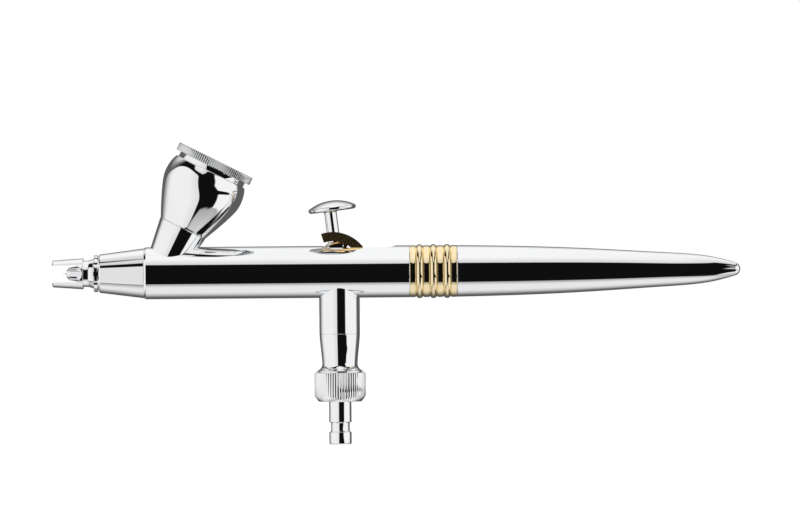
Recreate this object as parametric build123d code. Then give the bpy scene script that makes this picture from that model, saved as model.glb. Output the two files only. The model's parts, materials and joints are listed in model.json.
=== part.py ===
from build123d import *
import math
import os

# Airbrush gun, millimetres. X runs from the needle's point to the tail, Z points up to the trigger's pad.
# The origin is where the barrel's axis crosses the air valve's axis.

# Barrel and handle, along X
BARREL_R = 5.8
HEAD_SEAM_X = -43.46
SPIGOT_FRONT_X = -48.5
SPIGOT_R = 4.5
BARREL_REAR_X = 15.71
BARREL_END_X = 26.0
REAR_SPIGOT_R = 4.8
MAIN_BORE_R = 4.1
MAIN_BORE_X = -6.0
PAINT_BORE_R = 1.3
PACKING_SEAT_X = -27.0
PACKING_SCREW_X = -24.9
PACKING_SCREW_R = 2.45
RING_END_X = 26.27
HANDLE_START_X = 26.3
TAIL_X = 89.5

# Trigger slot in the barrel's top
SLOT_FRONT_X = -3.65
SLOT_REAR_X = 12.6
SLOT_WIDTH = 4.4

# Front end
HEAD_FRONT_X = -53.6
HEAD_WALL_FRONT_X = -51.0
HEAD_WALL_REAR_X = -48.7
CAP_RING_REAR_X = -53.8
CAP_RING_FRONT_X = -54.7
NOSE_FRONT_X = -60.8
CROWN_FRONT_X = -64.0
NEEDLE_TIP_X = -62.0
NEEDLE_TAIL_X = 62.0
NEEDLE_R = 0.6

# Paint cup: its axis crosses the barrel's axis at CUP_X and leans to the rear
CUP_X = -39.9
CUP_TILT = 26.75
CUP_SEAM = 11.27
CUP_SEAM_R = 5.57
STEM_HALF_ANGLE = 8.5
CUP_SEAT = 6.5
CUP_SCREW_R = 3.12
NECK_R = 7.95
LID_BOTTOM = 26.4
LID_TOP = 28.15
LID_R = 9.04

# Trigger, rear lever and needle carriage
TRIGGER_PIVOT_Z = -2.0
TRIGGER_LEAN = 7.0
FOOT_R = 1.3
STEM_R = 1.4
PAD_UNDERSIDE = 15.6
PAD_TOP = 18.0
PAD_R = 5.325
LEVER_FOOT = (3.2, -2.95)
LEVER_CENTRE = (-1.4, 0.45)
LEVER_INNER_R = 6.4
LEVER_OUTER_R = 8.45
BLADE_WIDTH = 4.2
NEEDLE_GAP = 1.6
FLANGE_X = 5.5
FLANGE_R = 3.6
TUBE_R = 1.9

# Air valve, along Z
BOSS_R = 4.53
BOSS_Z = -13.86
VALVE_FLANGE_Z = -22.25
VALVE_THREAD_R = 4.85
VALVE_THREAD_END_Z = -27.6
SEAT_Z = -15.0
NUT_TOP_Z = -22.45
NUT_BOTTOM_Z = -28.93
NUT_R = 5.69
PLUG_R = 2.5
PLUG_END_Z = -38.46
PLUG_AIR_R = 1.35

CLEARANCE = 0.03
RUNNING = 0.04

ALONG_CUP = Pos(CUP_X, 0, 0) * Rot(0, CUP_TILT, 0)


def turned(start, *moves, about=Axis.X):
    """Turn a closed outline of (along, radius) points about X or Z.

    A move is one point for a straight line, two for an arc through the first,
    or more for a smooth curve through them all."""

    def place(point):
        along, radius = point
        return (along, 0, radius) if about == Axis.X else (radius, 0, along)

    edges = []
    here = start
    for move in (*moves, start):
        points = move if isinstance(move, list) else [move]
        if points == [here]:
            continue
        if len(points) == 1:
            edges.append(Line(place(here), place(points[0])))
        elif len(points) == 2:
            edges.append(ThreePointArc(place(here), place(points[0]), place(points[1])))
        else:
            edges.append(Spline(*[place(point) for point in (here, *points)]))
        here = points[-1]
    return revolve(make_face(edges), about)


def dome(edge, apex):
    """Move along a spherical cap from an edge point to the apex on the axis."""
    rise = apex - edge[0]
    radius = (edge[1] ** 2 + rise ** 2) / (2 * rise)
    half_angle = math.atan2(edge[1], radius - rise) / 2
    middle = (apex - radius + radius * math.cos(half_angle), radius * math.sin(half_angle))
    return [middle, (apex, 0)]


def threads(begin, end, radius, depth=0.14, pitch=0.5):
    """Points of a row of V-grooves, cut into a shaft of the given radius."""
    count = round(abs(end - begin) / pitch)
    step = (end - begin) / count
    points = [(begin, radius)]
    for turn in range(count):
        points.append((begin + (turn + 0.5) * step, radius - depth))
        points.append((begin + (turn + 1) * step, radius))
    return points


def ring(begin, end, inner, outer, about=Axis.X):
    """Plain washer, sleeve or bush."""
    return turned((begin, inner), (begin, outer), (end, outer), (end, inner), about=about)


def rod(begin, end, radius, about=Axis.X):
    """Plain solid cylinder, also used as a drill."""
    return turned((begin, 0), (begin, radius), (end, radius), (end, 0), about=about)


def drill(start, end, radius):
    """Round hole between two points of the XZ plane."""
    begin = Vector(start[0], 0, start[1])
    run = Vector(end[0], 0, end[1]) - begin
    return extrude(Plane(origin=begin, z_dir=run) * Circle(radius), run.length)


def block(x, y, z):
    """Box from its (low, high) ranges."""
    size = [high - low for low, high in (x, y, z)]
    centre = [(high + low) / 2 for low, high in (x, y, z)]
    return Pos(*centre) * Box(*size)


def toothed(count, radius, depth):
    """Outline of a straight knurl or a ring of teeth, in the XY plane."""
    points = []
    for tooth in range(2 * count):
        angle = math.pi * tooth / count
        reach = radius if tooth % 2 else radius - depth
        points.append((reach * math.cos(angle), reach * math.sin(angle)))
    return make_face(Polyline(*points, close=True))


def coil(mean_r, wire_r, begin, end, turns):
    """Compression spring about Z."""
    path = Helix(pitch=(end - begin) / turns, height=end - begin, radius=mean_r)
    section = Plane(origin=path @ 0, z_dir=path % 0) * Circle(wire_r)
    return Pos(0, 0, begin) * sweep(section, path=path, is_frenet=True)


def barrel():
    """Barrel with the cup's stem and the valve's boss, bored through from end to end."""
    groove_x = SPIGOT_FRONT_X + 0.2
    groove_end_x = groove_x + 0.55
    body = turned(
        (SPIGOT_FRONT_X, 0), (SPIGOT_FRONT_X, SPIGOT_R), (groove_x, SPIGOT_R),
        (groove_x, SPIGOT_R - 0.52), (groove_end_x, SPIGOT_R - 0.52),
        *threads(groove_end_x, HEAD_SEAM_X - 0.6, SPIGOT_R),
        (HEAD_SEAM_X, SPIGOT_R), (HEAD_SEAM_X, BARREL_R - 0.18), (HEAD_SEAM_X + 0.76, BARREL_R),
        (BARREL_REAR_X - 0.1, BARREL_R), (BARREL_REAR_X, BARREL_R - 0.1), (BARREL_REAR_X, REAR_SPIGOT_R),
        (BARREL_END_X - 0.2, REAR_SPIGOT_R), (BARREL_END_X, REAR_SPIGOT_R - 0.2), (BARREL_END_X, 0),
    )
    boss = turned(
        (0, 0), (0, BOSS_R), (BOSS_Z + 0.08, BOSS_R), (BOSS_Z, BOSS_R - 0.08), (BOSS_Z, 0), about=Axis.Z,
    )
    stem_foot_r = CUP_SEAM_R - CUP_SEAM * math.tan(math.radians(STEM_HALF_ANGLE))
    cup_stem = ALONG_CUP * turned(
        (0, 0), (0, stem_foot_r), (CUP_SEAM, CUP_SEAM_R), (CUP_SEAM, 0), about=Axis.Z,
    )
    nozzle_seat_x = -47.2
    long_bore = turned(
        (SPIGOT_FRONT_X - 1, 0), (SPIGOT_FRONT_X - 1, 1.95), (nozzle_seat_x, 1.95),
        (nozzle_seat_x, PAINT_BORE_R), (PACKING_SEAT_X, PAINT_BORE_R), (PACKING_SEAT_X, 2.0),
        (PACKING_SCREW_X, 2.0), (PACKING_SCREW_X, PACKING_SCREW_R), (MAIN_BORE_X, PACKING_SCREW_R),
        (MAIN_BORE_X, MAIN_BORE_R), (BARREL_END_X + 1, MAIN_BORE_R), (BARREL_END_X + 1, 0),
    )
    cup_bore = ALONG_CUP * turned(
        (0, 0), (0, 1.5), (CUP_SEAT, 1.5), (CUP_SEAT, CUP_SCREW_R + CLEARANCE),
        (CUP_SEAM + 1, CUP_SCREW_R + CLEARANCE), (CUP_SEAM + 1, 0), about=Axis.Z,
    )
    valve_bore = turned(
        (-3.0, 0), (-3.0, 2.05), (-6.6, 2.05), (-6.6, 1.14), (-7.4, 1.14), (-7.4, 1.95), (-8.2, 1.95),
        (-8.2, 2.25), (-9.2, 2.25), (-9.2, 3.6), (-13.3, 3.6), (-13.3, 4.12), (BOSS_Z - 1, 4.12),
        (BOSS_Z - 1, 0), about=Axis.Z,
    )
    air_z = -4.95
    port_x = -2.95
    bend_x = -30.0
    air_way = drill((port_x, -9.5), (port_x, air_z), 0.45) + drill((port_x, air_z), (bend_x, air_z), 0.45)
    air_way += drill((bend_x, air_z), (SPIGOT_FRONT_X - 0.5, -3.35), 0.45)
    slot = Pos((SLOT_FRONT_X + SLOT_REAR_X) / 2, 0, 0) * extrude(
        SlotOverall(SLOT_REAR_X - SLOT_FRONT_X, SLOT_WIDTH), 2 * BARREL_R
    )
    return body + boss + cup_stem - long_bore - cup_bore - valve_bore - air_way - slot


def head_seal():
    return Pos(SPIGOT_FRONT_X + 0.475, 0, 0) * Rot(0, 90, 0) * Torus(SPIGOT_R - 0.25, 0.24)


def nozzle_seal():
    return ring(-47.9, -47.2, 1.0, 1.93)


def air_head():
    """Cone that screws over the barrel's front spigot and carries nozzle and air cap."""
    socket_r = SPIGOT_R + CLEARANCE
    cone = turned(
        (HEAD_FRONT_X, 3.2), (HEAD_FRONT_X, 3.85), [(HEAD_FRONT_X + 0.13, 4.13), (HEAD_FRONT_X + 0.45, 4.26)],
        (HEAD_SEAM_X - 0.08, 5.57), (HEAD_SEAM_X, 5.49), (HEAD_SEAM_X, socket_r),
        (HEAD_WALL_REAR_X, socket_r), (HEAD_WALL_REAR_X, 1.6), (HEAD_WALL_FRONT_X, 1.6),
        (HEAD_WALL_FRONT_X, 3.2),
    )
    air_hole = Pos(0, 0, 2.75) * rod(HEAD_WALL_FRONT_X - 1, HEAD_WALL_REAR_X + 1, 0.4)
    hole_count = 6
    for hole in range(hole_count):
        cone -= Rot(360 * hole / hole_count, 0, 0) * air_hole
    return cone


def nozzle():
    """Fluid nozzle: its collar rests on the head's wall, its rear presses the seal."""
    collar_r = 2.2
    return turned(
        (NOSE_FRONT_X - 0.1, 0.14), (NOSE_FRONT_X - 0.1, 0.3), (-55.5, 0.95), (-51.9, 1.1),
        (-51.9, collar_r), (HEAD_WALL_FRONT_X, collar_r), (HEAD_WALL_FRONT_X, 1.57), (-47.9, 1.57),
        (-47.9, 1.0), (-52.0, 0.75), (-57.0, 0.5),
    )


def air_cap():
    """Toothed ring with the air nose in front and a threaded spigot behind."""
    cap = turned(
        (NOSE_FRONT_X, 0.45), (NOSE_FRONT_X, 0.85), (NOSE_FRONT_X + 0.6, 1.57), (-57.35, 1.72),
        *threads(-57.15, CAP_RING_FRONT_X - 0.2, 2.2), (CAP_RING_FRONT_X, 2.2),
        (CAP_RING_FRONT_X, 4.0), (CAP_RING_FRONT_X + 0.12, 4.12), (CAP_RING_REAR_X - 0.12, 4.12),
        (CAP_RING_REAR_X, 4.0), (CAP_RING_REAR_X, 3.17), *threads(CAP_RING_REAR_X + 0.3, -51.8, 3.17),
        (-51.8, 2.5), (-53.6, 2.5), (-59.9, 0.95),
    )
    notch = Pos(CAP_RING_FRONT_X, 0, 4.1) * Box(4, 0.95, 0.9)
    teeth = 12
    for tooth in range(teeth):
        cap -= Rot(360 * tooth / teeth, 0, 0) * notch
    return cap


def needle_cap():
    """Crown with a prong above and below the needle's point."""
    crown = turned(
        (CROWN_FRONT_X, 1.9), (CROWN_FRONT_X, 2.87), (CROWN_FRONT_X + 0.12, 2.97), (-57.15, 3.46),
        (-57.1, 2.93), (-55.9, 2.93), (CAP_RING_FRONT_X - 0.1, 3.35), (CAP_RING_FRONT_X - 0.02, 3.27),
        (CAP_RING_FRONT_X - 0.02, 2.23), (-57.2, 2.23), (-57.5, 1.95),
    )
    notch_r = 1.9
    notch_x = -57.3 - notch_r
    notch = Pos(notch_x, 0, 0) * Rot(90, 0, 0) * Cylinder(notch_r, 20)
    notch += block((CROWN_FRONT_X - 1, notch_x), (-10, 10), (-notch_r, notch_r))
    return crown - notch


def needle():
    return turned(
        (NEEDLE_TIP_X, 0), (-58.5, 0.28), (-53.0, NEEDLE_R), (NEEDLE_TAIL_X - 0.3, NEEDLE_R),
        (NEEDLE_TAIL_X, NEEDLE_R - 0.3), (NEEDLE_TAIL_X, 0),
    )


def needle_packing():
    return ring(PACKING_SEAT_X + 0.05, PACKING_SCREW_X - 0.05, NEEDLE_R + CLEARANCE, 1.97)


def packing_screw():
    """Hollow screw with a driver slot across its rear face."""
    end_x = -18.5
    screw = turned(
        (PACKING_SCREW_X + 0.01, 0.8), (PACKING_SCREW_X + 0.01, PACKING_SCREW_R - CLEARANCE),
        *threads(PACKING_SCREW_X + 0.4, end_x - 0.4, PACKING_SCREW_R - CLEARANCE),
        (end_x, PACKING_SCREW_R - CLEARANCE), (end_x, 0.8),
    )
    return screw - block((end_x - 1.1, end_x + 1), (-5, 5), (-0.4, 0.4))


def paint_cup():
    """Tulip-shaped cup with a funnel floor, a threaded foot and a plain neck for the lid."""
    foot = CUP_SEAT + 0.7
    shoulder = 25.3
    cup = turned(
        (foot, 1.55), *threads(foot, CUP_SEAM - 0.3, CUP_SCREW_R), (CUP_SEAM, CUP_SCREW_R),
        (CUP_SEAM, CUP_SEAM_R - 0.08), (CUP_SEAM + 0.08, CUP_SEAM_R),
        [(13.4, 6.5), (17.0, 8.0), (20.5, 9.19), (21.9, 9.27), (24.1, 8.94)],
        [(25.0, 8.66), (shoulder, 8.25)], (shoulder, NECK_R), (LID_BOTTOM - 0.1, NECK_R),
        (LID_BOTTOM, NECK_R - 0.1), (LID_BOTTOM, 7.3), (shoulder, 7.3),
        [(23.6, 8.05), (20.9, 8.35), (17.2, 7.2), (13.6, 5.3)], (10.9, 1.55), about=Axis.Z,
    )
    return ALONG_CUP * cup


def cup_seal():
    return ALONG_CUP * ring(CUP_SEAT, CUP_SEAT + 0.7, 1.55, CUP_SCREW_R - CLEARANCE, about=Axis.Z)


def cup_lid():
    """Push-on lid: knurled rim, sunk top with a small vent, and a lip inside the cup's neck."""
    outer = turned(
        (LID_BOTTOM, 0.5), (LID_BOTTOM - 1.2, 0.5), (LID_BOTTOM - 1.2, 1.0), (LID_BOTTOM - 0.01, 1.6),
        (LID_BOTTOM - 0.01, 6.6), (LID_BOTTOM - 1.3, 6.6), (LID_BOTTOM - 1.3, 7.15),
        (LID_BOTTOM + 0.01, 7.26), (LID_BOTTOM + 0.01, LID_R - 0.15), (LID_BOTTOM + 0.16, LID_R + 0.05),
        (LID_TOP - 0.1, LID_R + 0.05), (LID_TOP, LID_R - 0.1), (LID_TOP, 8.5), (LID_TOP - 0.3, 8.3),
        (LID_TOP - 0.3, 0.5), about=Axis.Z,
    )
    knurl = Pos(0, 0, LID_BOTTOM - 2) * extrude(toothed(110, LID_R, 0.16), 5)
    return ALONG_CUP * (outer & knurl)


def trigger():
    """Finger pad, stem, domed collar, flat leg with a window for the needle, and a round foot."""
    collar_r = 2.55
    collar_z = 5.85
    narrow = 3.0
    leg_x = (-1.25, 1.25)
    foot = Rot(90, 0, 0) * Cylinder(FOOT_R, narrow)
    leg = block(leg_x, (-narrow / 2, narrow / 2), (0, 1.0))
    leg += block(leg_x, (-BLADE_WIDTH / 2, BLADE_WIDTH / 2), (0.8, collar_z - 0.2))
    collar = turned(
        (5.5, 0), (5.5, collar_r), (collar_z, collar_r), dome((collar_z, collar_r), collar_z + collar_r),
        about=Axis.Z,
    )
    collar &= block((-5, 5), (-BLADE_WIDTH / 2, BLADE_WIDTH / 2), (0, 10))
    stem = turned(
        (7.5, 0), (7.5, STEM_R), (PAD_UNDERSIDE - 0.4, STEM_R),
        [(PAD_UNDERSIDE - 0.12, STEM_R + 0.12), (PAD_UNDERSIDE + 0.01, STEM_R + 0.4)],
        (PAD_UNDERSIDE + 0.01, 0), about=Axis.Z,
    )
    pad_edge = (PAD_UNDERSIDE + 0.93, PAD_R - 0.13)
    pad = turned(
        (PAD_UNDERSIDE, 0), (PAD_UNDERSIDE, PAD_R - 0.55),
        [(PAD_UNDERSIDE + 0.2, PAD_R - 0.14), (PAD_UNDERSIDE + 0.62, PAD_R)],
        [(PAD_UNDERSIDE + 0.8, PAD_R - 0.03), pad_edge], dome(pad_edge, PAD_TOP), about=Axis.Z,
    )
    window = block((-5, 5), (-NEEDLE_GAP / 2, NEEDLE_GAP / 2), (0.95, 4.6))
    whole = (foot + leg - window) + collar + stem + Pos(0.5, 0, 0) * pad
    return Pos(0, 0, TRIGGER_PIVOT_Z) * Rot(0, -TRIGGER_LEAN, 0) * whole


def rear_lever():
    """Curved fork that straddles the trigger's stem, on a leg that rocks on a round foot."""

    def rim(radius, angle):
        turn = math.radians(angle)
        return (LEVER_CENTRE[0] + radius * math.sin(turn), 0, LEVER_CENTRE[1] + radius * math.cos(turn))

    def side(x, z):
        return (x, 0, z)

    front, inner_end, outer_end = -18.0, 38.0, 53.0
    middle = (front + inner_end) / 2
    front_leg = [side(2.3, 4.3), side(2.3, 2.6), side(2.5, 1.25), side(2.45, -2.4)]
    lobe_start, lobe_peak, lobe_end = side(4.95, 3.65), side(5.4, 3.1), side(4.95, 2.55)
    edges = [
        Line(rim(LEVER_OUTER_R, front), rim(LEVER_INNER_R, front)),
        ThreePointArc(rim(LEVER_INNER_R, front), rim(LEVER_INNER_R, middle), rim(LEVER_INNER_R, inner_end)),
        Polyline(rim(LEVER_INNER_R, inner_end), *front_leg, side(3.95, -2.4), side(4.35, 1.6), lobe_end),
        ThreePointArc(lobe_end, lobe_peak, lobe_start),
        Polyline(lobe_start, side(4.75, 4.7), rim(LEVER_OUTER_R, outer_end)),
        ThreePointArc(
            rim(LEVER_OUTER_R, outer_end), rim(LEVER_OUTER_R, middle), rim(LEVER_OUTER_R, front)
        ),
    ]
    blade = extrude(make_face(edges), BLADE_WIDTH / 2, both=True)
    foot_width = 2.4
    foot = Pos(LEVER_FOOT[0], 0, LEVER_FOOT[1]) * Rot(90, 0, 0) * Cylinder(0.9, foot_width)
    foot += block((2.6, 3.8), (-foot_width / 2, foot_width / 2), (LEVER_FOOT[1], -2.3))
    slit_end = rim(LEVER_INNER_R, 22.0)
    slit = block((-8, slit_end[0]), (-1.5, 1.5), (slit_end[2] - 0.4, 12))
    window = block((0, 8), (-NEEDLE_GAP / 2, NEEDLE_GAP / 2), (-1.3, 1.9))
    return blade + foot - slit - window


def needle_tube():
    """Carriage: front flange, tube, and a slotted collet that the chuck nut closes on the needle."""
    bore_r = NEEDLE_R + CLEARANCE
    tube = turned(
        (FLANGE_X, bore_r), (FLANGE_X, FLANGE_R), (FLANGE_X + 1.2, FLANGE_R), (FLANGE_X + 1.2, TUBE_R),
        (37.0, TUBE_R), *threads(37.4, 41.9, TUBE_R), (44.0, 1.4), (44.0, bore_r),
    )
    for turn in (0, 90):
        tube -= Rot(turn, 0, 0) * block((39.0, 45.0), (-0.15, 0.15), (-3, 3))
    return tube


def chuck_nut():
    """Knurled nut whose inner cone closes the collet."""
    outer_r = 2.9
    body = turned(
        (37.5, TUBE_R + RUNNING), (37.5, outer_r - 0.3), (37.8, outer_r), (45.6, outer_r), (46.0, outer_r - 0.4),
        (46.0, 0.9), (44.4, 0.9), (44.4, 1.36), (42.1, TUBE_R + RUNNING),
    )
    knurl = Pos(36, 0, 0) * Rot(0, 90, 0) * extrude(toothed(30, outer_r, 0.12), 12)
    return body & knurl


def needle_spring():
    wire_r = 0.25
    return Rot(0, 90, 0) * coil(2.5, wire_r, FLANGE_X + 1.25 + wire_r, 29.95 - wire_r, 12)


def spring_sleeve():
    """Sleeve screwed into the barrel's rear: spring chamber, tube guide and the handle's thread."""
    front_x = 14.5
    flange_end_x = BARREL_END_X + 1.0
    barrel_fit_r = MAIN_BORE_R - CLEARANCE
    return turned(
        (front_x, 3.1), (front_x, barrel_fit_r), (18.0, barrel_fit_r), *threads(18.0, 25.0, barrel_fit_r),
        (BARREL_END_X, barrel_fit_r), (BARREL_END_X, 4.7), (flange_end_x, 4.7), (flange_end_x, 3.6),
        *threads(27.5, 33.5, 3.6), (34.0, 3.45), (34.0, TUBE_R + RUNNING), (30.0, TUBE_R + RUNNING),
        (30.0, 3.1),
    )


def grip_ring():
    """Sleeve with three round beads, each between two small V-grooves."""
    land_r, bead_r, groove_r = 5.78, 6.025, 5.56
    outline = [(BARREL_REAR_X, land_r - 0.12), (BARREL_REAR_X + 0.12, land_r)]
    for bead_x in (17.92, 21.0, 24.06):
        outline += [
            (bead_x - 0.97, land_r), (bead_x - 0.77, groove_r),
            [(bead_x, bead_r), (bead_x + 0.77, groove_r)], (bead_x + 0.97, land_r),
        ]
    outline += [(RING_END_X - 0.12, land_r), (RING_END_X, land_r - 0.12), (RING_END_X, 4.83)]
    return turned((BARREL_REAR_X, 4.83), *outline)


def handle():
    """Long hollow handle, swelling gently and ending in a blunt rounded tail."""
    tail_edge = (TAIL_X - 1.2, 1.5)
    outside = turned(
        (HANDLE_START_X, 0), (HANDLE_START_X, 5.66), (HANDLE_START_X + 0.1, 5.76),
        [(37.0, 5.55), (50.4, 5.10), (59.3, 4.64), (72.7, 3.82), (79.4, 3.34), (83.9, 2.66), tail_edge],
        dome(tail_edge, TAIL_X),
    )
    inside = turned(
        (HANDLE_START_X - 1, 0), (HANDLE_START_X - 1, 4.82), (27.4, 4.82), (27.4, 3.63), (34.6, 3.63),
        (34.6, 3.9), (50.0, 3.9), (67.0, 1.5), (68.0, 0),
    )
    return outside - inside


def valve_body():
    """Waisted housing: screws into the boss above, and takes the plug's nut below its flange."""
    spigot_r = 3.57
    return turned(
        (-10.4, 1.75), *threads(-10.4, -13.2, spigot_r), (BOSS_Z, spigot_r), (BOSS_Z, BOSS_R - 0.08),
        (BOSS_Z - 0.08, BOSS_R), [(-16.0, 4.36), (-18.3, 4.12), (-20.4, 3.94)],
        [(-21.5, 4.3), (VALVE_FLANGE_Z + 0.12, 5.28)], (VALVE_FLANGE_Z, 5.28),
        (VALVE_FLANGE_Z, VALVE_THREAD_R), *threads(-22.6, VALVE_THREAD_END_Z + 0.2, VALVE_THREAD_R),
        (VALVE_THREAD_END_Z, 4.7), (VALVE_THREAD_END_Z, 2.9), (SEAT_Z, 2.9), (SEAT_Z, 1.75), about=Axis.Z,
    )


def body_seal():
    return Pos(0, 0, -13.58) * Torus(3.86, 0.24)


def valve_stem():
    """Pin with a cradle for the trigger's foot on top and a valve plate low down."""
    pin = turned(
        (-2.6, 0), (-2.6, 2.0), (-5.2, 2.0), (-5.2, 1.1), (-15.6, 1.1), (-15.6, 2.3), (-16.3, 2.3),
        (-16.3, 1.2), (-18.2, 1.2), (-18.5, 0.9), (-18.5, 0), about=Axis.Z,
    )
    cradle = Pos(0, 0, TRIGGER_PIVOT_Z) * Rot(90, 0, 0) * Cylinder(FOOT_R + 0.06, 10)
    return pin - cradle


def valve_seal():
    return ring(-15.6, SEAT_Z - 0.01, 1.11, 2.35, about=Axis.Z)


def stem_seal():
    return ring(-8.18, -7.42, 1.1 + RUNNING, 1.93, about=Axis.Z)


def stem_guide():
    guide = turned(
        (-8.22, 1.1 + RUNNING), *threads(-8.22, -9.18, 2.22), (-9.18, 1.1 + RUNNING), about=Axis.Z,
    )
    return guide - block((-3, 3), (-0.3, 0.3), (-10, -8.8))


def valve_spring():
    wire_r = 0.2
    return coil(2.0, wire_r, -21.15 + wire_r, -16.33 - wire_r, 5)


def valve_screw():
    screw = turned(
        (-21.2, 1.1), *threads(-21.2, -23.6, 2.87), (-23.6, 1.1), about=Axis.Z,
    )
    return screw - block((-4, 4), (-0.4, 0.4), (-25, -23.0))


def air_plug():
    """Knurled nut and quick-coupling plug in one piece, with a straight air way."""
    nut_inner_r = VALVE_THREAD_R + CLEARANCE
    seal_z = -28.2
    groove_top_z, groove_bottom_z, groove_r = -33.6, -35.6, 2.08
    plug = turned(
        (NUT_TOP_Z, nut_inner_r), (NUT_TOP_Z, NUT_R - 0.2), (NUT_TOP_Z - 0.2, NUT_R + 0.05),
        (-27.7, NUT_R + 0.05), (NUT_BOTTOM_Z + 0.1, 4.85), (NUT_BOTTOM_Z, 4.7), (NUT_BOTTOM_Z, PLUG_R),
        (groove_top_z + 0.12, PLUG_R), (groove_top_z - 0.12, groove_r), (groove_bottom_z + 0.12, groove_r),
        (groove_bottom_z - 0.2, PLUG_R), (PLUG_END_Z + 0.35, PLUG_R), (PLUG_END_Z, PLUG_R - 0.3),
        (PLUG_END_Z, PLUG_AIR_R), (seal_z, PLUG_AIR_R), (seal_z, nut_inner_r), about=Axis.Z,
    )
    knurl = Pos(0, 0, PLUG_END_Z - 1) * extrude(toothed(64, NUT_R, 0.2), 18)
    return plug & knurl


def plug_seal():
    return ring(-28.18, VALVE_THREAD_END_Z - 0.02, 1.6, 4.6, about=Axis.Z)


PIECES = (
    barrel, head_seal, nozzle_seal, air_head, nozzle, air_cap, needle_cap, needle, needle_packing,
    packing_screw, paint_cup, cup_seal, cup_lid, trigger, rear_lever, needle_tube, chuck_nut,
    needle_spring, spring_sleeve, grip_ring, handle, valve_body, body_seal, valve_stem, valve_seal,
    stem_seal, stem_guide, valve_spring, valve_screw, air_plug, plug_seal,
)

os.makedirs("parts", exist_ok=True)
for piece in PIECES:
    export_step(piece(), f"parts/{piece.__name__}.step")
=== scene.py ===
import json
import math

import bmesh
import bpy
import numpy as np
from mathutils import Matrix, Vector


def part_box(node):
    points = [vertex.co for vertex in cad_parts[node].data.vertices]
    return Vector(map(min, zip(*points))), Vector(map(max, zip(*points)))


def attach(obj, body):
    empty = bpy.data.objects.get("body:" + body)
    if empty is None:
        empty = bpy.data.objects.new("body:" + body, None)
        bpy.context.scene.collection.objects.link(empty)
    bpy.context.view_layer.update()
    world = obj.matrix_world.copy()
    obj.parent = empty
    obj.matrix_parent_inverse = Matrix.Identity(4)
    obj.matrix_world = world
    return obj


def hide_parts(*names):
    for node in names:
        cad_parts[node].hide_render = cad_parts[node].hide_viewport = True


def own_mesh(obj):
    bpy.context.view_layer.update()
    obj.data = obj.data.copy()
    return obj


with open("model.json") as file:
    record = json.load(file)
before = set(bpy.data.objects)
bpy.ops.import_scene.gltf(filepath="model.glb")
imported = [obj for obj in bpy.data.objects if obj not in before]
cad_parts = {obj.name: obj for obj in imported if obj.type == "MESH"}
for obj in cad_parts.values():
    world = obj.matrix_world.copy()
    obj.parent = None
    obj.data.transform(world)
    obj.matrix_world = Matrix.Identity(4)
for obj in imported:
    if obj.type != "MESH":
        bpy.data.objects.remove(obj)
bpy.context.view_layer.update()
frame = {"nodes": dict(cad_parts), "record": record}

# Driving dimensions, millimetres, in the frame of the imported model
BARREL_R = 5.8
HEAD_SEAM_X = -43.46
SPIGOT_FRONT_X = -48.5
SPIGOT_R = 4.5
BARREL_REAR_X = 15.71
BARREL_END_X = 26.0
REAR_SPIGOT_R = 4.8
MAIN_BORE_R = 4.1
SLOT_FRONT_X = -3.65
SLOT_REAR_X = 12.6
SLOT_WIDTH = 4.4
HEAD_FRONT_X = -53.6
CAP_RING_REAR_X = -53.8
CAP_RING_FRONT_X = -54.7
CAP_TEETH = 12
NOSE_FRONT_X = -60.8
CROWN_FRONT_X = -64.0
CUP_X = -39.9
CUP_TILT = math.radians(26.75)
CUP_SEAM = 11.27
CUP_SEAM_R = 5.57
STEM_SLOPE = math.tan(math.radians(8.5))
CUP_SEAT = 6.5
CUP_SCREW_R = 3.12
NECK_R = 7.95
LID_BOTTOM = 26.4
LID_TOP = 28.15
LID_R = 9.04
LID_TEETH = 110
PIVOT_Z = -2.0
TRIGGER_LEAN = math.radians(7.0)
STEM_R = 1.4
PAD_UNDERSIDE = 15.6
PAD_TOP = 18.0
PAD_R = 5.325
PAD_SHIFT = 0.5
BLADE_WIDTH = 4.2
NEEDLE_GAP = 1.6
LEVER_CENTRE = (-1.4, 0.45)
LEVER_INNER_R = 6.4
LEVER_OUTER_R = 8.45
LEVER_FOOT = (3.2, -2.95)
BOSS_R = 4.53
BOSS_Z = -13.86
VALVE_FLANGE_Z = -22.25
VALVE_THREAD_R = 4.85
VALVE_THREAD_END_Z = -27.6
NUT_TOP_Z = -22.45
NUT_BOTTOM_Z = -28.93
NUT_R = 5.69
NUT_TEETH = 64
PLUG_R = 2.5
PLUG_END_Z = -38.46
PLUG_AIR_R = 1.35
RING_END_X = 26.27
HANDLE_START_X = 26.3
TAIL_X = 89.5

MM = 0.001
AROUND = 192
ALONG_X = Matrix.Rotation(math.radians(90), 4, "Y")
ALONG_Z = Matrix.Identity(4)
ACROSS = Matrix.Rotation(math.radians(90), 4, "X")
ALONG_CUP = Matrix.Translation((CUP_X, 0, 0)) @ Matrix.Rotation(CUP_TILT, 4, "Y")
ALONG_TRIGGER = Matrix.Translation((0, 0, PIVOT_Z)) @ Matrix.Rotation(-TRIGGER_LEAN, 4, "Y")


# Outlines: lists of (along, radius) points. A third number is the corner's fillet radius.

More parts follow.
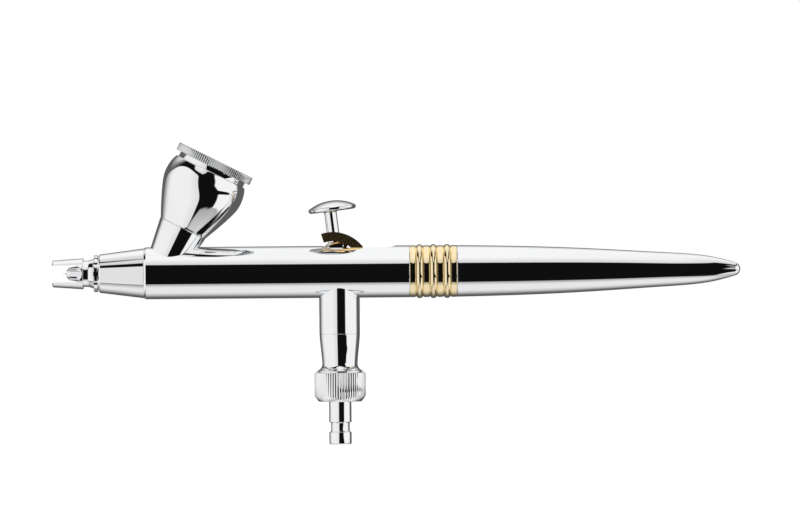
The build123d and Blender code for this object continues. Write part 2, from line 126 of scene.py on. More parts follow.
def curve(points, per_span=10):
    """Points of a smooth cubic curve through the given ones, without its first point."""
    data = np.array(points, float)
    run = np.concatenate([[0], np.cumsum(np.linalg.norm(np.diff(data, axis=0), axis=1))])
    count = len(data)
    step = np.diff(run)
    system = np.eye(count)
    right = np.zeros((count, 2))
    for i in range(1, count - 1):
        system[i, i - 1:i + 2] = step[i - 1], 2 * (step[i - 1] + step[i]), step[i]
        right[i] = 6 * ((data[i + 1] - data[i]) / step[i] - (data[i] - data[i - 1]) / step[i - 1])
    bend = np.linalg.solve(system, right)
    found = []
    for i in range(count - 1):
        for k in range(1, per_span + 1):
            b = k / per_span
            a = 1 - b
            cubic = (a ** 3 - a) * bend[i] + (b ** 3 - b) * bend[i + 1]
            found.append(tuple(a * data[i] + b * data[i + 1] + cubic * step[i] ** 2 / 6))
    return found


def dome(edge, apex, count=14):
    """Points of a spherical cap from an edge point to the apex on the axis, without the edge."""
    rise = apex - edge[0]
    radius = (edge[1] ** 2 + rise ** 2) / (2 * rise)
    half = math.atan2(edge[1], radius - rise)
    angles = [half * (1 - k / count) for k in range(1, count + 1)]
    return [(apex - radius + radius * math.cos(a), max(radius * math.sin(a), 0)) for a in angles]


def arc(start, middle, end, count=10):
    """Points of the circle through three points, without its start."""
    a, b, c = (Vector(p) for p in (start, middle, end))
    ab, ac = b - a, c - a
    twice = 2 * (ab.x * ac.y - ab.y * ac.x)
    centre = a + Vector((
        (ac.y * ab.length_squared - ab.y * ac.length_squared) / twice,
        (ab.x * ac.length_squared - ac.x * ab.length_squared) / twice,
    ))
    begin = math.atan2(a.y - centre.y, a.x - centre.x)
    sweep = (math.atan2(c.y - centre.y, c.x - centre.x) - begin) % math.tau
    via = (math.atan2(b.y - centre.y, b.x - centre.x) - begin) % math.tau
    if via > sweep:
        sweep -= math.tau
    radius = (a - centre).length
    turns = [begin + sweep * k / count for k in range(1, count + 1)]
    return [(centre.x + radius * math.cos(t), centre.y + radius * math.sin(t)) for t in turns]


def half_circle(centre_x, radius, begin, count=32):
    """Points of half a circle about (centre_x, 0), from the begin angle in degrees, ends included."""
    turns = [math.radians(begin + 180 * k / count) for k in range(count + 1)]
    return [(centre_x + radius * math.cos(t), radius * math.sin(t)) for t in turns]


def threads(begin, end, radius, depth=0.14, pitch=0.5):
    """Points of a row of V-grooves in a shaft."""
    count = round(abs(end - begin) / pitch)
    step = (end - begin) / count
    found = [(begin, radius)]
    for turn in range(count):
        found.append((begin + (turn + 0.5) * step, radius - depth))
        found.append((begin + (turn + 1) * step, radius))
    return found


def rounded(corners, steps=4):
    """The closed outline with every corner that has a fillet radius rounded."""
    found = []
    for i, corner in enumerate(corners):
        here = Vector(corner[:2])
        fillet = corner[2] if len(corner) > 2 else 0
        back = Vector(corners[i - 1][:2]) - here
        ahead = Vector(corners[(i + 1) % len(corners)][:2]) - here
        if not fillet or back.length < 1e-6 or ahead.length < 1e-6:
            found.append(tuple(here))
            continue
        half = back.angle(ahead) / 2
        reach = min(fillet / math.tan(half), 0.45 * back.length, 0.45 * ahead.length)
        start = here + back.normalized() * reach
        end = here + ahead.normalized() * reach
        centre = here + (back.normalized() + ahead.normalized()).normalized() * (reach / math.cos(half))
        radius = (start - centre).length
        for k in range(steps + 1):
            chord = start.lerp(end, k / steps) - centre
            if chord.length > 1e-9:
                found.append(tuple(centre + chord.normalized() * radius))
    return found


# Meshes, built in millimetres and stored in metres

def new_piece(name, verts, faces):
    mesh = bpy.data.meshes.new(name)
    mesh.from_pydata([tuple(v) for v in verts], [], faces)
    mesh.validate()
    piece = bpy.data.objects.new(name, mesh)
    bpy.context.scene.collection.objects.link(piece)
    return piece


def lathe(name, outline, place=ALONG_Z, around=AROUND, wave=None):
    """Turn a closed outline into a mesh. wave(angle, along) scales the radius, for knurls."""
    points = rounded(outline)
    verts, faces, rings = [], [], []
    for along, radius in points:
        if radius < 1e-6:
            rings.append([len(verts)] * around)
            verts.append(place @ Vector((0, 0, along)))
            continue
        rings.append(list(range(len(verts), len(verts) + around)))
        for k in range(around):
            angle = math.tau * k / around
            reach = radius * (wave(angle, along) if wave else 1)
            verts.append(place @ Vector((reach * math.cos(angle), reach * math.sin(angle), along)))
    for i, ring in enumerate(rings):
        other = rings[(i + 1) % len(rings)]
        for k in range(around):
            n = (k + 1) % around
            face = [ring[k], ring[n], other[n], other[k]]
            face = [v for j, v in enumerate(face) if v != face[j - 1]]
            if len(face) > 2 and len(set(face)) == len(face):
                faces.append(face)
    piece = new_piece(name, verts, faces)
    outward(piece)
    return piece


def prism(name, outline, half_width):
    """Extrude a closed outline of (x, z) points across Y."""
    count = len(outline)
    verts = [Vector((x, side * half_width, z)) for side in (-1, 1) for x, z in outline]
    faces = [list(range(count)), list(range(2 * count - 1, count - 1, -1))]
    for i in range(count):
        n = (i + 1) % count
        faces.append([i, n, count + n, count + i])
    piece = new_piece(name, verts, faces)
    outward(piece)
    return piece


def block(name, x, y, z):
    """Box from its (low, high) ranges."""
    piece = prism(name, [(x[0], z[0]), (x[1], z[0]), (x[1], z[1]), (x[0], z[1])], (y[1] - y[0]) / 2)
    piece.data.transform(Matrix.Translation((0, (y[0] + y[1]) / 2, 0)))
    return piece


def outward(piece):
    """Make every face look outward."""
    work = bmesh.new()
    work.from_mesh(piece.data)
    bmesh.ops.remove_doubles(work, verts=work.verts, dist=1e-6)
    bmesh.ops.recalc_face_normals(work, faces=work.faces)
    work.to_mesh(piece.data)
    work.free()


def apply_modifiers(piece):
    """Replace the piece's mesh with what its modifiers make of it."""
    bpy.context.view_layer.update()
    evaluated = piece.evaluated_get(bpy.context.evaluated_depsgraph_get())
    mesh = bpy.data.meshes.new_from_object(evaluated)
    piece.modifiers.clear()
    old = piece.data
    piece.data = mesh
    bpy.data.meshes.remove(old)


def combine(piece, tool, operation):
    """Boolean with another piece, which is used up."""
    modifier = piece.modifiers.new("combine", "BOOLEAN")
    modifier.operation = operation
    modifier.solver = "EXACT"
    modifier.object = tool
    apply_modifiers(piece)
    bpy.data.objects.remove(tool)
    return piece


def add(piece, tool):
    return combine(piece, tool, "UNION")


def cut(piece, tool):
    return combine(piece, tool, "DIFFERENCE")


def keep_inside(piece, tool):
    return combine(piece, tool, "INTERSECT")


def finish_piece(piece, body, nodes, slot, sharp=32, even=True):
    """Scale to metres, shade smooth with crisp edges, and hang the piece on its body."""
    piece.data.transform(Matrix.Scale(MM, 4))
    for polygon in piece.data.polygons:
        polygon.use_smooth = True
    piece.data.set_sharp_from_angle(angle=math.radians(sharp))
    piece.data.materials.clear()
    piece.data.materials.append(MATERIALS[slot])
    if even:
        shading = piece.modifiers.new("even", "WEIGHTED_NORMAL")
        shading.mode = "FACE_AREA"
        shading.keep_sharp = True
        shading.weight = 100
    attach(piece, body)
    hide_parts(*nodes)
    return piece


# Materials

def node(tree, kind, **values):
    """New shader node: plain values go to its settings, socket names with _ to its inputs."""
    made = tree.nodes.new(kind)
    for key, value in values.items():
        if key in made.inputs:
            made.inputs[key].default_value = value
        else:
            setattr(made, key, value)
    return made


def metal(name, colour, roughness, spread=0.02, grain=0.03, tint=0.03, metallic=1.0):
    """Polished metal: faint hazing in the roughness, fine polishing lines and a breath of colour change."""
    material = bpy.data.materials.new(name)
    material.use_nodes = True
    tree = material.node_tree
    link = tree.links.new
    shader = tree.nodes["Principled BSDF"]
    shader.inputs["Metallic"].default_value = metallic
    place = node(tree, "ShaderNodeTexCoord")
    haze = node(tree, "ShaderNodeTexNoise", Scale=90.0, Detail=4.0)
    link(place.outputs["Object"], haze.inputs["Vector"])
    rough = node(tree, "ShaderNodeMapRange")
    rough.inputs["From Min"].default_value = 0.3
    rough.inputs["From Max"].default_value = 0.7
    rough.inputs["To Min"].default_value = roughness
    rough.inputs["To Max"].default_value = roughness + spread
    link(haze.outputs["Fac"], rough.inputs["Value"])
    link(rough.outputs["Result"], shader.inputs["Roughness"])
    ramp = node(tree, "ShaderNodeValToRGB")
    ramp.color_ramp.elements[0].position = 0.3
    ramp.color_ramp.elements[1].position = 0.7
    ramp.color_ramp.elements[0].color = (*[c * (1 - tint) for c in colour], 1)
    ramp.color_ramp.elements[1].color = (*colour, 1)
    link(haze.outputs["Fac"], ramp.inputs["Fac"])
    link(ramp.outputs["Color"], shader.inputs["Base Color"])
    lines = node(tree, "ShaderNodeTexNoise", Scale=2600.0, Detail=2.0)
    link(place.outputs["Object"], lines.inputs["Vector"])
    bump = node(tree, "ShaderNodeBump", Strength=grain, Distance=0.000004)
    link(lines.outputs["Fac"], bump.inputs["Height"])
    link(bump.outputs["Normal"], shader.inputs["Normal"])
    return material


def plastic(name, colour, roughness):
    """Moulded plastic or rubber with a fine skin."""
    return metal(name, colour, roughness, spread=0.12, grain=0.25, tint=0.12, metallic=0.0)


MATERIALS = {
    "chrome": metal("chrome", (0.93, 0.935, 0.945), 0.015),
    "gold_ring": metal("gold_ring", (1.0, 0.84, 0.53), 0.03),
    "gold_lever": metal("gold_lever", (0.95, 0.66, 0.3), 0.05, metallic=0.97),
    "needle_steel": metal("needle_steel", (0.78, 0.74, 0.66), 0.1),
    "spring_steel": metal("spring_steel", (0.7, 0.7, 0.7), 0.22, spread=0.08, grain=0.1),
    "brass": metal("brass", (0.86, 0.68, 0.36), 0.16, spread=0.08, grain=0.1),
    "ptfe": plastic("ptfe", (0.93, 0.93, 0.91), 0.42),
    "rubber": plastic("rubber", (0.045, 0.045, 0.047), 0.5),
}

SATIN = metal("satin_chrome", (0.72, 0.73, 0.74), 0.12, spread=0.06, grain=0.08)


# Pieces

def make_barrel():
    groove_x = SPIGOT_FRONT_X + 0.2
    barrel = lathe("barrel_shell", [
        (SPIGOT_FRONT_X, 0), (SPIGOT_FRONT_X, SPIGOT_R, 0.05), (groove_x, SPIGOT_R),
        (groove_x, SPIGOT_R - 0.52), (groove_x + 0.55, SPIGOT_R - 0.52),
        *threads(groove_x + 0.55, HEAD_SEAM_X - 0.6, SPIGOT_R), (HEAD_SEAM_X, SPIGOT_R),
        (HEAD_SEAM_X, BARREL_R - 0.18, 0.05), (HEAD_SEAM_X + 0.4, BARREL_R, 0.1),
        (BARREL_REAR_X, BARREL_R, 0.1), (BARREL_REAR_X, REAR_SPIGOT_R),
        (BARREL_END_X, REAR_SPIGOT_R, 0.2), (BARREL_END_X, 0),
    ], ALONG_X, 256)
    boss = lathe("boss", [(0, 0), (0, BOSS_R), (BOSS_Z, BOSS_R, 0.08), (BOSS_Z, 0)])
    stem_foot_r = CUP_SEAM_R - CUP_SEAM * STEM_SLOPE
    stem = lathe("stem", [(0, 0), (0, stem_foot_r), (CUP_SEAM, CUP_SEAM_R, 0.14), (CUP_SEAM, 0)], ALONG_CUP)
    add(barrel, boss)
    add(barrel, stem)
    cut(barrel, lathe("long_bore", [
        (SPIGOT_FRONT_X - 1, 0), (SPIGOT_FRONT_X - 1, 1.95), (-47.2, 1.95), (-47.2, 1.3), (-27.0, 1.3),
        (-27.0, 2.0), (-24.9, 2.0), (-24.9, 2.45), (-6.0, 2.45), (-6.0, MAIN_BORE_R),
        (BARREL_END_X + 1, MAIN_BORE_R), (BARREL_END_X + 1, 0),
    ], ALONG_X, 128))
    screw_r = CUP_SCREW_R + 0.03
    cut(barrel, lathe("cup_bore", [
        (0, 0), (0, 1.5), (CUP_SEAT, 1.5), (CUP_SEAT, screw_r), (CUP_SEAM + 1, screw_r), (CUP_SEAM + 1, 0),
    ], ALONG_CUP, 96))
    cut(barrel, lathe("valve_bore", [
        (-3.0, 0), (-3.0, 2.05), (-6.6, 2.05), (-6.6, 1.14), (-9.2, 1.14), (-9.2, 3.6), (-13.3, 3.6),
        (-13.3, 4.12), (BOSS_Z - 1, 4.12), (BOSS_Z - 1, 0),
    ], ALONG_Z, 96))
    half = SLOT_WIDTH / 2
    rim = half_circle(SLOT_REAR_X - half, half, -90) + half_circle(SLOT_FRONT_X + half, half, 90)
    count = len(rim)
    verts = [Vector((x, y, z)) for z in (0, 10) for x, y in rim]
    faces = [list(range(count)), list(range(2 * count - 1, count - 1, -1))]
    faces += [[i, (i + 1) % count, count + (i + 1) % count, count + i] for i in range(count)]
    slot = new_piece("slot", verts, faces)
    outward(slot)
    cut(barrel, slot)
    finish_piece(barrel, "body", ["barrel"], "chrome", even=False)
    true_barrel_normals(barrel)


def true_barrel_normals(piece):
    """Give the barrel's large faces the normals of the two cylinders and the cone they lie on."""
    mesh = piece.data
    most_off_surface, least_cosine = 0.02 * MM, 0.999
    tilt = Matrix.Rotation(CUP_TILT, 3, "Y")
    cup_origin = Vector((CUP_X * MM, 0, 0))

    def on_barrel(p):
        return Vector((0, p.y, p.z)), BARREL_R * MM

    def on_boss(p):
        return Vector((p.x, p.y, 0)), BOSS_R * MM

    def on_stem(p):
        local = tilt.inverted() @ (p - cup_origin)
        flat = Vector((local.x, local.y, 0))
        wanted = (CUP_SEAM_R * MM - (CUP_SEAM * MM - local.z) * STEM_SLOPE)
        slope = Vector((flat.x, flat.y, -flat.length * STEM_SLOPE))
        return tilt @ slope, wanted / max(flat.length, 1e-9) * slope.length

    normals = [Vector(loop.vector) for loop in mesh.corner_normals]
    for polygon in mesh.polygons:
        for surface in (on_barrel, on_boss, on_stem):
            direction, radius = surface(polygon.center)
            if abs(direction.length - radius) > most_off_surface:
                continue
            if direction.normalized().dot(polygon.normal) < least_cosine:
                continue
            for loop in polygon.loop_indices:
                here = mesh.vertices[mesh.loops[loop].vertex_index].co
                normals[loop] = surface(here)[0].normalized()
            break
    mesh.normals_split_custom_set(normals)


def make_air_head():
    socket_r = SPIGOT_R + 0.03
    head = lathe("head_cone", [
        (HEAD_FRONT_X, 3.2), (HEAD_FRONT_X, 4.26, 0.42), (HEAD_SEAM_X, 5.58, 0.1),
        (HEAD_SEAM_X, socket_r), (-48.7, socket_r), (-48.7, 1.6), (-51.0, 1.6), (-51.0, 3.2),
    ], ALONG_X, 256)
    finish_piece(head, "air_head", ["air_head"], "chrome")


def make_air_cap():
    cap = lathe("nose_cap", [
        (NOSE_FRONT_X, 0.45), (NOSE_FRONT_X, 0.8, 0.08), (NOSE_FRONT_X + 0.6, 1.42, 0.12), (-57.35, 1.86),
        *threads(-57.15, CAP_RING_FRONT_X - 0.2, 2.2), (CAP_RING_FRONT_X, 2.2),
        (CAP_RING_FRONT_X, 4.12, 0.12), (CAP_RING_REAR_X, 4.12, 0.12), (CAP_RING_REAR_X, 3.17),
        *threads(CAP_RING_REAR_X + 0.3, -51.8, 3.17), (-51.8, 2.5), (-53.6, 2.5), (-59.9, 0.95),
    ], ALONG_X)
    for tooth in range(CAP_TEETH):
        notch = block("notch", (-56, -52.9), (-0.475, 0.475), (3.65, 5))
        notch.data.transform(Matrix.Rotation(math.tau * tooth / CAP_TEETH, 4, "X"))
        cut(cap, notch)
    finish_piece(cap, "air_head", ["air_cap"], "chrome")


def make_needle_cap():
    crown = lathe("crown", [
        (CROWN_FRONT_X, 1.9, 0.2), (CROWN_FRONT_X, 2.97, 0.3), (-57.12, 3.46, 0.06), (-57.12, 2.93, 0.05),
        (-55.9, 2.93, 0.8), (CAP_RING_FRONT_X - 0.02, 3.35, 0.12), (CAP_RING_FRONT_X - 0.02, 2.23),
        (-57.2, 2.23), (-57.5, 1.95),
    ], ALONG_X)
    notch_r, notch_end_x = 1.9, -57.3
    rim = [(CROWN_FRONT_X - 1, -notch_r)]
    rim += half_circle(notch_end_x - notch_r, notch_r, -90)
    rim.append((CROWN_FRONT_X - 1, notch_r))
    cut(crown, prism("notch", rim, 6))
    finish_piece(crown, "needle_cap", ["needle_cap"], "chrome")


def make_cup():
    foot = CUP_SEAT + 0.7
    shoulder = 25.3
    bowl_start = (CUP_SEAM + 0.3, CUP_SEAM_R + 0.08)
    outer = curve([
        bowl_start, (14.0, 6.77), (17.95, 8.4), (20.4, 9.12), (21.8, 9.22), (23.0, 9.12), (24.15, 8.87),
        (25.1, 8.49),
    ])
    inner = curve([(shoulder, 7.3), (23.6, 8.05), (20.9, 8.35), (17.2, 7.2), (13.6, 5.3)])
    cup = lathe("cup_bowl", [
        (foot, 1.55), *threads(foot, CUP_SEAM - 0.3, CUP_SCREW_R), (CUP_SEAM, CUP_SCREW_R),
        (CUP_SEAM, CUP_SEAM_R, 0.14), bowl_start, *outer, (shoulder, 8.3), (shoulder, NECK_R),
        (LID_BOTTOM, NECK_R, 0.1), (LID_BOTTOM, 7.3, 0.1), (shoulder, 7.3), *inner, (10.9, 1.55),
    ], ALONG_CUP, 256)
    finish_piece(cup, "cup", ["paint_cup"], "chrome")


def knurl(teeth, depth, low, high, fade):
    """Radius factor of a straight knurl between two heights, fading out at its ends."""
    def wave(angle, along):
        inside = min(max((along - low) / fade, 0), max((high - along) / fade, 0), 1)
        return 1 - depth * inside * (0.5 - 0.5 * math.cos(angle * teeth)) ** 0.8
    return wave


def make_lid():
    lid = lathe("lid_disc", [
        (LID_BOTTOM, 0.5), (LID_BOTTOM - 1.2, 0.5), (LID_BOTTOM - 1.2, 1.0), (LID_BOTTOM - 0.01, 1.6),
        (LID_BOTTOM - 0.01, 6.6), (LID_BOTTOM - 1.3, 6.6), (LID_BOTTOM - 1.3, 7.15),
        (LID_BOTTOM + 0.01, 7.26), (LID_BOTTOM + 0.01, LID_R - 0.16), (LID_BOTTOM + 0.16, LID_R),
        (LID_TOP - 0.12, LID_R), (LID_TOP, LID_R - 0.12), (LID_TOP, 8.5, 0.1), (LID_TOP - 0.3, 8.3, 0.1),
        (LID_TOP - 0.3, 0.5, 0.1),
    ], ALONG_CUP, LID_TEETH * 8, knurl(LID_TEETH, 0.02, LID_BOTTOM + 0.05, LID_TOP - 0.02, 0.1))
    finish_piece(lid, "lid", ["cup_lid"], "chrome", sharp=50)
    lid.data.materials[0] = SATIN


def make_trigger():
    collar_r, collar_z, collar_rise, collar_shift, narrow = 2.6, 7.8, 1.3, 0.25, 1.5
    half = BLADE_WIDTH / 2
    pad_low, pad_rim = (PAD_UNDERSIDE, PAD_R - 0.55), (PAD_UNDERSIDE + 0.62, PAD_R)
    pad_edge = (PAD_UNDERSIDE + 0.93, PAD_R - 0.13)
    pad = lathe("trigger_lever", [
        (PAD_UNDERSIDE, 0), pad_low, *arc(pad_low, (PAD_UNDERSIDE + 0.2, PAD_R - 0.14), pad_rim),
        *arc(pad_rim, (PAD_UNDERSIDE + 0.8, PAD_R - 0.03), pad_edge, 4),
        *dome(pad_edge, PAD_TOP),
    ])
    pad.data.transform(Matrix.Translation((PAD_SHIFT, 0, 0)))
    throat = [(PAD_UNDERSIDE - 0.4, STEM_R)]
    throat += arc(throat[0], (PAD_UNDERSIDE - 0.12, STEM_R + 0.12), (PAD_UNDERSIDE + 0.01, STEM_R + 0.4), 6)
    add(pad, lathe("stem", [(7.5, 0), (7.5, STEM_R), *throat, (PAD_UNDERSIDE + 0.01, 0)], around=96))
    collar = lathe("collar", [
        (5.5, 0), (5.5, 2.3, 0.1), (7.2, 2.3), (7.5, collar_r, 0.1), (collar_z, collar_r),
        *dome((collar_z, collar_r), collar_z + collar_rise),
    ])
    collar.data.transform(Matrix.Translation((collar_shift, 0, 0)))
    keep_inside(collar, block("flats", (-5, 5), (-half, half), (0, 10)))
    add(pad, collar)
    leg = block("leg", (-1.25, 1.25), (-half, half), (0.8, 5.65))
    cut(leg, block("window", (-5, 5), (-NEEDLE_GAP / 2, NEEDLE_GAP / 2), (0.95, 4.6)))
    add(pad, leg)
    foot = lathe(
        "foot", [(-narrow, 0), (-narrow, 1.3, 0.1), (narrow, 1.3, 0.1), (narrow, 0)], ACROSS, 96,
    )
    add(pad, foot)
    pad.data.transform(ALONG_TRIGGER)
    finish_piece(pad, "trigger", ["trigger"], "chrome")


def make_rear_lever():
    def rim(radius, angle):
        turn = math.radians(angle)
        return (LEVER_CENTRE[0] + radius * math.sin(turn), LEVER_CENTRE[1] + radius * math.cos(turn))

    front, inner_end, outer_end = -18, 38, 53
    inner = [rim(LEVER_INNER_R, front + (inner_end - front) * k / 40) for k in range(41)]
    outer = [rim(LEVER_OUTER_R, outer_end - (outer_end - front) * k / 48) for k in range(49)]
    lobe = [(4.95, 2.55)]
    lobe += arc(lobe[0], (5.4, 3.1), (4.95, 3.65), 12)
    outline = [
        *inner, (2.3, 4.3, 0.5), (2.3, 2.6, 0.5), (2.5, 1.25, 0.5), (2.45, -2.4, 0.3), (3.95, -2.4, 0.3),
        (4.35, 1.6, 0.5), *lobe, (4.75, 4.7, 0.3), *outer,
    ]
    lever = prism("rocker", rounded(outline), BLADE_WIDTH / 2)
    foot_place = Matrix.Translation((LEVER_FOOT[0], 0, LEVER_FOOT[1])) @ ACROSS
    foot = lathe("foot", [(-1.2, 0), (-1.2, 0.9, 0.1), (1.2, 0.9, 0.1), (1.2, 0)], foot_place, 64)
    add(lever, foot)
    add(lever, block("ankle", (2.6, 3.8), (-1.2, 1.2), (LEVER_FOOT[1], -2.3)))
    slit_x, slit_z = rim(LEVER_INNER_R, 22)
    cut(lever, block("slit", (-8, slit_x), (-1.5, 1.5), (slit_z - 0.4, 12)))
    cut(lever, block("window", (0, 8), (-NEEDLE_GAP / 2, NEEDLE_GAP / 2), (-1.3, 1.9)))
    soften = lever.modifiers.new("soften", "BEVEL")
    soften.width = 0.12
    soften.segments = 3
    soften.limit_method = "ANGLE"
    soften.angle_limit = math.radians(50)
    apply_modifiers(lever)
    finish_piece(lever, "rear_lever", ["rear_lever"], "gold_lever")


def make_grip_ring():
    land_r, bead_r, groove_r, inner_r = 5.78, 6.025, 5.56, 4.83
    outline = [(BARREL_REAR_X, inner_r), (BARREL_REAR_X, land_r, 0.12)]
    for bead_x in (17.92, 21.0, 24.06):
        outline += [(bead_x - 0.97, land_r, 0.05), (bead_x - 0.77, groove_r)]
        outline += arc((bead_x - 0.77, groove_r), (bead_x, bead_r), (bead_x + 0.77, groove_r), 18)
        outline += [(bead_x + 0.97, land_r, 0.05)]
    outline += [(RING_END_X, land_r, 0.12), (RING_END_X, inner_r)]
    finish_piece(lathe("gold_grip", outline, ALONG_X, 256), "body", ["grip_ring"], "gold_ring")


def make_handle():
    tail = (TAIL_X - 1.2, 1.5)
    outside = curve([(26.42, 5.76), (37.0, 5.55), (50.4, 5.10), (59.3, 4.64), (72.7, 3.82), (79.4, 3.34),
                     (83.9, 2.66), tail], 14)
    handle = lathe("handle_shell", [
        (HANDLE_START_X, 4.82), (HANDLE_START_X, 5.76, 0.12), *outside, *dome(tail, TAIL_X), (68.0, 0),
        (67.0, 1.5), (50.0, 3.9), (34.6, 3.9), (34.6, 3.63), (27.4, 3.63), (27.4, 4.82),
    ], ALONG_X, 256)
    finish_piece(handle, "handle", ["handle"], "chrome")


def make_valve_body():
    spigot_r = 3.57
    waist = curve([(BOSS_Z - 0.1, BOSS_R), (-16.0, 4.36), (-18.3, 4.12), (-20.4, 3.94)])
    flare = arc(waist[-1], (-21.5, 4.3), (VALVE_FLANGE_Z + 0.14, 5.26), 14)
    body = lathe("valve_shell", [
        (-10.4, 1.75), *threads(-10.4, -13.2, spigot_r), (BOSS_Z, spigot_r), (BOSS_Z, BOSS_R, 0.08), *waist,
        *flare, (VALVE_FLANGE_Z, 5.28, 0.04), (VALVE_FLANGE_Z, VALVE_THREAD_R),
        *threads(-22.6, VALVE_THREAD_END_Z + 0.2, VALVE_THREAD_R), (VALVE_THREAD_END_Z, 4.7),
        (VALVE_THREAD_END_Z, 2.9), (-15.0, 2.9), (-15.0, 1.75),
    ], ALONG_Z, 256)
    finish_piece(body, "body", ["valve_body"], "chrome")


def make_air_plug():
    nut_inner_r = VALVE_THREAD_R + 0.03
    plug = lathe("plug_nut", [
        (NUT_TOP_Z, nut_inner_r), (NUT_TOP_Z, NUT_R - 0.2), (NUT_TOP_Z - 0.2, NUT_R), (-27.7, NUT_R),
        (NUT_BOTTOM_Z, 4.8, 0.12), (NUT_BOTTOM_Z, PLUG_R, 0.12), (-33.5, PLUG_R, 0.06), (-33.7, 2.08, 0.06),
        (-35.5, 2.08, 0.06), (-35.8, PLUG_R, 0.1), (PLUG_END_Z, PLUG_R, 0.32), (PLUG_END_Z, PLUG_AIR_R, 0.1),
        (-28.2, PLUG_AIR_R), (-28.2, nut_inner_r),
    ], ALONG_Z, NUT_TEETH * 8, nut_wave)
    finish_piece(plug, "plug", ["air_plug"], "chrome", sharp=50)


def nut_wave(angle, along):
    """Knurl on the nut's outside only: the plug below stays round."""
    return knurl(NUT_TEETH, 0.035, -27.75, NUT_TOP_Z, 0.15)(angle, along)


def make_spring(name, replaced, mean_r, wire_r, begin, end, turns, place):
    """Round wire wound about the placed Z axis."""
    per_turn, across = 32, 12
    rise = (end - begin - 2 * wire_r) / (turns * per_turn)
    verts, faces = [], []
    for k in range(turns * per_turn + 1):
        turn = math.tau * k / per_turn
        out = Vector((math.cos(turn), math.sin(turn), 0))
        centre = mean_r * out + Vector((0, 0, begin + wire_r + k * rise))
        for j in range(across):
            round_wire = math.tau * j / across
            offset = math.cos(round_wire) * out + Vector((0, 0, math.sin(round_wire)))
            verts.append(place @ (centre + wire_r * offset))
    last = len(verts) - across
    for k in range(0, last, across):
        for j in range(across):
            n = (j + 1) % across
            faces.append([k + j, k + n, k + across + n, k + across + j])
    faces += [list(range(across)), list(range(last, last + across))]
    spring = new_piece(name, verts, faces)
    outward(spring)
    return finish_piece(spring, "body", [replaced], "spring_steel", even=False)


def make_springs():
    """Both springs, each wound over the extent of the CAD spring it replaces."""
    low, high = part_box("valve_spring")
    begin, end = low[2] / MM, high[2] / MM
    spring = make_spring("air_spring", "valve_spring", 2.0, 0.2, begin, end, 5, ALONG_Z)
    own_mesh(spring)
    low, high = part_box("needle_spring")
    begin, end = low[0] / MM, high[0] / MM
    spring = make_spring("return_spring", "needle_spring", 2.5, 0.25, begin, end, 12, ALONG_X)
    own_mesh(spring)


def dress_cad_nodes():
    """Give every CAD node that still shows its material."""
    slots = {part["node"]: part["material_slot"] for part in frame["record"]["subparts"]}
    for name, cad in frame["nodes"].items():
        cad.data.materials.clear()
        cad.data.materials.append(MATERIALS[slots[name]])


# Studio

class Shades:
    """Arithmetic on a shader tree's values."""

    def __init__(self, tree):
        self.tree = tree

    def math(self, operation, *values):
        made = self.tree.nodes.new("ShaderNodeMath")
        made.operation = operation
        for socket, value in zip(made.inputs, values):
            if isinstance(value, (int, float)):
                socket.default_value = value
            else:
                self.tree.links.new(value, socket)
        return made.outputs[0]

    def plus(self, a, b):
        return self.math("ADD", a, b)

    def times(self, a, *others):
        for other in others:
            a = self.math("MULTIPLY", a, other)
        return a

    def clamped(self, value, low, high):
        return self.math("MINIMUM", self.math("MAXIMUM", value, low), high)

    def ramp(self, value, start, end):
        """0 before the start, 1 after the end, smooth between. The end may be the smaller one."""
        made = self.tree.nodes.new("ShaderNodeMapRange")
        made.interpolation_type = "SMOOTHSTEP"
        made.inputs["From Min"].default_value = start
        made.inputs["From Max"].default_value = end
        self.tree.links.new(value, made.inputs["Value"])
        return made.outputs["Result"]

    def mixed(self, a, b, share):
        return self.plus(a, self.times(self.math("SUBTRACT", b, a), share))


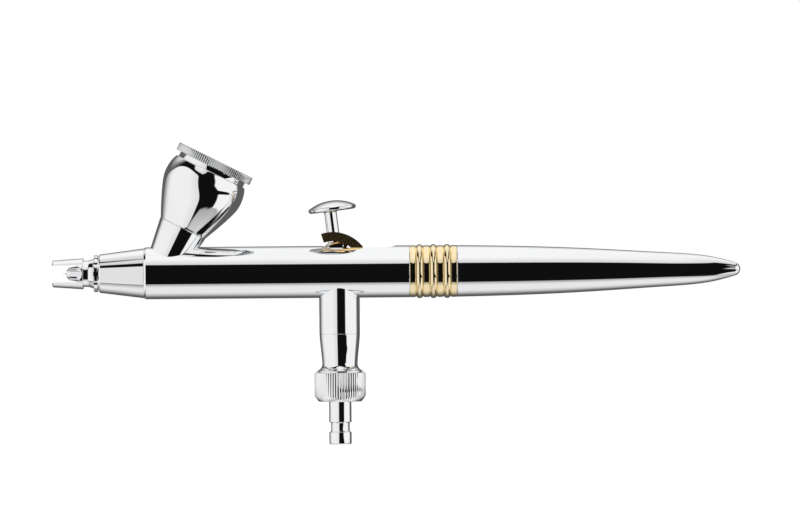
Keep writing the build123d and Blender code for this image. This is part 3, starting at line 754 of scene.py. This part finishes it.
def make_studio():
    """White tent with a dark gap round the camera. The camera itself sees plain white.

    side is the compass angle off the camera's direction, to the right of the object, and rise the
    angle above the horizon, both in degrees.
    """
    world = bpy.data.worlds.new("studio")
    bpy.context.scene.world = world
    world.use_nodes = True
    tree = world.node_tree
    tree.nodes.clear()
    s = Shades(tree)
    place = tree.nodes.new("ShaderNodeTexCoord")
    split = tree.nodes.new("ShaderNodeSeparateXYZ")
    tree.links.new(place.outputs["Generated"], split.inputs[0])
    x, y, z = (split.outputs[i] for i in range(3))
    degrees = 180 / math.pi
    side = s.times(s.math("ARCTAN2", x, s.times(y, -1)), degrees)
    rise = s.times(s.math("ARCSINE", z), degrees)
    turned_away = s.math("ABSOLUTE", side)
    behind = s.ramp(turned_away, 95, 150)

    # Overhead sheet: its front edge is nearest in the middle and stays back on the left. Its rear edge
    # fades out
    held_back = s.times(s.ramp(side, -24, -38), s.ramp(side, -128, -112), 12)
    front_edge = s.plus(s.math("MINIMUM", s.plus(s.times(turned_away, 0.5), 35.5), 58), held_back)
    above = s.math("SUBTRACT", rise, front_edge)
    overhead_front = s.times(s.ramp(above, -1.5, 1.5), s.plus(s.times(s.ramp(above, 0, 30), 0.25), 0.75))
    overhead_back = s.ramp(rise, 12, 54)
    overhead = s.mixed(overhead_front, overhead_back, behind)

    # Table below
    table_edge = s.math("MAXIMUM", s.plus(s.times(turned_away, -0.22), -50), -57)
    under = s.math("SUBTRACT", table_edge, rise)
    table_front = s.times(s.ramp(under, -1, 1), s.plus(s.times(s.ramp(under, 0, 18), 0.42), 0.44))
    table_back = s.times(s.ramp(rise, -30, -92), 0.9)
    table = s.mixed(table_front, table_back, behind)

    # Side sheets: the left one's top edge is bowed, the right one's near edge slants
    off_middle = s.plus(side, 64)
    bowed = s.plus(s.times(off_middle, off_middle, -0.0083), 48.3)
    left = s.times(
        s.math("POWER", s.ramp(side, -160, -100), 1.5), s.ramp(side, -12.5, -14.5),
        s.ramp(s.math("SUBTRACT", rise, bowed), 0.8, -0.8), s.ramp(rise, -56, -52),
        s.plus(s.times(s.ramp(side, -14, -45), 0.13), 0.8),
    )
    slant = s.plus(s.times(s.math("MINIMUM", rise, 0), -0.9), s.times(s.math("MAXIMUM", rise, 0), 0.25))
    spike = s.times(s.ramp(rise, -11, -16), s.ramp(rise, -23, -18), 38)
    near_edge = s.plus(s.clamped(s.plus(slant, 33), 33, 46), spike)
    right = s.times(
        s.ramp(s.math("SUBTRACT", side, near_edge), -2.5, 2.5), s.ramp(side, 119, 106), s.ramp(rise, 43, 40),
        s.ramp(rise, -60, -56), 0.97,
    )

    dim = s.plus(s.times(s.ramp(turned_away, 95, 110), 0.11), 0.005)
    total = dim
    for sheet in (overhead, table, left, right):
        total = s.math("MAXIMUM", total, sheet)
    paths = tree.nodes.new("ShaderNodeLightPath")
    strength = s.mixed(total, 1.0, paths.outputs["Is Camera Ray"])
    light = tree.nodes.new("ShaderNodeBackground")
    light.inputs["Color"].default_value = (1, 1, 1, 1)
    tree.links.new(strength, light.inputs["Strength"])
    output = tree.nodes.new("ShaderNodeOutputWorld")
    tree.links.new(light.outputs["Background"], output.inputs["Surface"])


def make_floor():
    size, drop = 40.0, 0.3
    mesh = bpy.data.meshes.new("floor")
    corners = [(-size, -size), (size, -size), (size, size), (-size, size)]
    mesh.from_pydata([(x, y, -drop) for x, y in corners], [], [(0, 1, 2, 3)])
    floor = bpy.data.objects.new("floor", mesh)
    bpy.context.scene.collection.objects.link(floor)
    material = bpy.data.materials.new("pale_floor")
    material.use_nodes = True
    shader = material.node_tree.nodes["Principled BSDF"]
    shader.inputs["Base Color"].default_value = (0.9, 0.9, 0.9, 1)
    shader.inputs["Roughness"].default_value = 0.9
    shader.inputs["Emission Color"].default_value = (1, 1, 1, 1)
    shader.inputs["Emission Strength"].default_value = 0.6
    mesh.materials.append(material)
    floor.visible_glossy = False


def make_camera():
    """Long lens, level with the barrel, turned a hair so that the tail sits slightly high."""
    distance = 1.5
    width_seen = 0.17856
    camera = bpy.data.cameras.new("camera")
    camera.sensor_width = 36
    camera.lens = camera.sensor_width * distance / width_seen
    camera.clip_start = 0.1
    camera.clip_end = 100
    holder = bpy.data.objects.new("camera", camera)
    bpy.context.scene.collection.objects.link(holder)
    roll = math.radians(0.45)
    holder.matrix_world = (
        Matrix.Translation((0.01357, -distance, 0.0012))
        @ Matrix.Rotation(math.radians(90), 4, "X")
        @ Matrix.Rotation(-roll, 4, "Z")
    )
    bpy.context.scene.camera = holder


make_camera()
make_studio()
make_floor()
dress_cad_nodes()
make_barrel()
make_air_head()
make_air_cap()
make_needle_cap()
make_cup()
make_lid()
make_trigger()
make_rear_lever()
make_grip_ring()
make_handle()
make_valve_body()
make_air_plug()
make_springs()

bpy.context.scene.view_settings.view_transform = "Standard"
